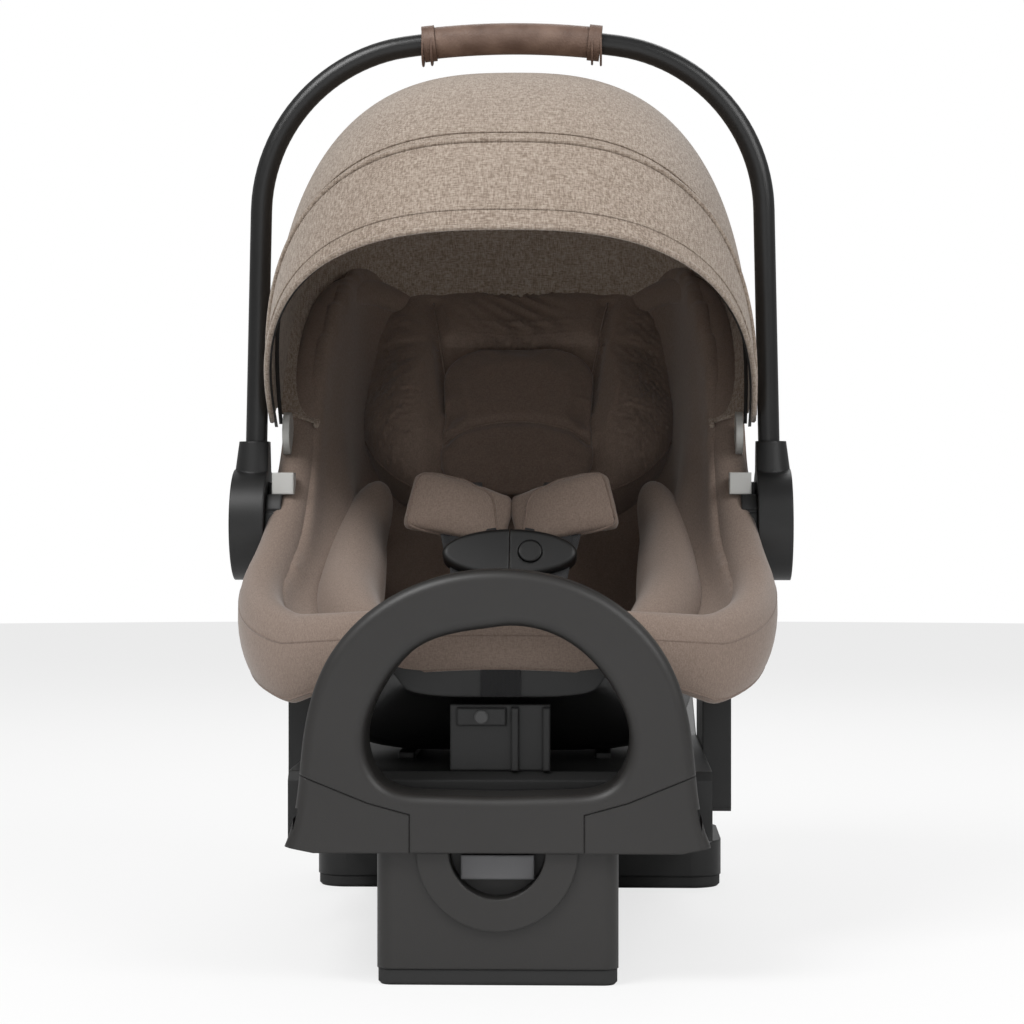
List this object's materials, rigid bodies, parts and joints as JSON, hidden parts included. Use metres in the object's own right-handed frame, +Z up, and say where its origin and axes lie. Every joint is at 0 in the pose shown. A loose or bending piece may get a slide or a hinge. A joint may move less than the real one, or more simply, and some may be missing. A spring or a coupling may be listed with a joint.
{
  "type": "infant car seat",
  "caption": "Rear-facing infant carrier with folding handle and canopy, harness and padded liner, locked on a vehicle base with an anti-rebound arch and a recline foot.",
  "frame": {"origin": "on the floor under the middle of the object", "axes": "+Z up, the child's feet and the arch towards -Y, +X to the right for someone who looks at the arch"},
  "size_m": [0.44, 0.65, 0.7099],
  "materials": {
    "charcoal_plastic": "fine-textured moulding",
    "black_plastic": "satin moulding",
    "rubber_band": "matte",
    "grey_plastic": "satin",
    "light_grey_plastic": "satin",
    "canopy_fabric": "heather weave",
    "seat_fabric": "soft knit",
    "grip_leather": "stitched leatherette",
    "webbing": "woven webbing",
    "handle_metal": "satin black",
    "steel": "plain",
    "red_plastic": "gloss",
    "lens": "clear gloss"
  },
  "bodies": {
    "base": {"base_body": "black_plastic", "side_tower_left": "black_plastic", "side_tower_right": "black_plastic", "base_tray": "black_plastic", "rear_foot_band": "rubber_band", "anti_rebound_arch": "charcoal_plastic", "fascia_left": "charcoal_plastic", "fascia_right": "charcoal_plastic", "latch_housing": "black_plastic", "level_lens": "lens"},
    "recline_foot": {"recline_foot": "charcoal_plastic", "foot_collar": "charcoal_plastic", "foot_sole": "rubber_band"},
    "recline_release": {"recline_release": "grey_plastic"},
    "carrier": {"carrier_shell": "black_plastic", "seat_cover": "seat_fabric", "head_pillow": "seat_fabric", "pillow_centre": "seat_fabric", "seat_insert": "seat_fabric", "bolster_left": "seat_fabric", "bolster_right": "seat_fabric", "shoulder_pad_left": "seat_fabric", "shoulder_pad_right": "seat_fabric", "harness_left": "webbing", "harness_right": "webbing", "chest_clip_left": "black_plastic", "chest_clip_right": "black_plastic", "harness_buckle": "black_plastic", "buckle_tongues": "steel", "crotch_strap": "webbing", "adjuster_strap": "webbing", "harness_adjuster": "black_plastic", "hub_boss_left": "black_plastic", "hub_boss_right": "black_plastic", "pivot_pins": "steel", "canopy_mount_left": "light_grey_plastic", "canopy_mount_right": "light_grey_plastic", "canopy_main": "canopy_fabric", "lever_guide": "black_plastic", "harness_yoke": "steel", "carrier_runners": "black_plastic"},
    "handle": {"handle_tube": "handle_metal", "grip_sleeve": "grip_leather", "grip_bands": "grip_leather", "handle_socket_left": "black_plastic", "handle_socket_right": "black_plastic", "lock_rings": "steel"},
    "handle_button_left": {"handle_button_left": "light_grey_plastic"},
    "handle_button_right": {"handle_button_right": "light_grey_plastic"},
    "canopy_frame": {"canopy_bow": "black_plastic"},
    "visor": {"canopy_visor": "canopy_fabric", "visor_bow": "black_plastic"},
    "clip_button": {"chest_clip_button": "black_plastic"},
    "buckle_press": {"buckle_button": "red_plastic"},
    "adjuster_press": {"adjuster_button": "grey_plastic"},
    "carrier_lever": {"release_lever": "grey_plastic"}
  },
  "joints": [
    {"name": "carrier_lift", "type": "slide", "parent": "base", "child": "carrier", "axis": [0, 0, 1], "range_m": [0, 0.2]},
    {"name": "recline_slide", "type": "slide", "parent": "base", "child": "recline_foot", "axis": [0, 0, 1], "range_m": [0, 0.026]},
    {"name": "recline_press", "type": "slide", "parent": "recline_foot", "child": "recline_release", "axis": [0, 1, 0], "range_m": [0, 0.004], "stiffness_N_per_m": 300},
    {"name": "handle_hinge", "type": "hinge", "parent": "carrier", "child": "handle", "pos_m": [0, 0, 0.312], "axis": [1, 0, 0], "range_deg": [-100, 95]},
    {"name": "handle_press_left", "type": "slide", "parent": "carrier", "child": "handle_button_left", "axis": [-1, 0, 0], "range_m": [0, 0.004], "stiffness_N_per_m": 300},
    {"name": "handle_press_right", "type": "slide", "parent": "carrier", "child": "handle_button_right", "axis": [1, 0, 0], "range_m": [0, 0.004], "stiffness_N_per_m": 300},
    {"name": "canopy_hinge", "type": "hinge", "parent": "carrier", "child": "canopy_frame", "pos_m": [0, 0.02, 0.385], "axis": [1, 0, 0], "range_deg": [-80, 0], "deforming": ["canopy_main"]},
    {"name": "visor_hinge", "type": "hinge", "parent": "canopy_frame", "child": "visor", "pos_m": [0, 0.02, 0.385], "axis": [1, 0, 0], "range_deg": [-13, 0]},
    {"name": "clip_press", "type": "slide", "parent": "carrier", "child": "clip_button", "axis": [0, 0.9136, -0.4067], "range_m": [0, 0.0025], "stiffness_N_per_m": 300},
    {"name": "buckle_press_slide", "type": "slide", "parent": "carrier", "child": "buckle_press", "axis": [0, 0.9397, -0.342], "range_m": [0, 0.0035], "stiffness_N_per_m": 400},
    {"name": "adjuster_press_slide", "type": "slide", "parent": "carrier", "child": "adjuster_press", "axis": [0, -0.4384, -0.8988], "range_m": [0, 0.003], "stiffness_N_per_m": 400},
    {"name": "lever_pull", "type": "slide", "parent": "carrier", "child": "carrier_lever", "axis": [0, 0.4526, 0.8917], "range_m": [0, 0.012], "stiffness_N_per_m": 400}
  ]
}
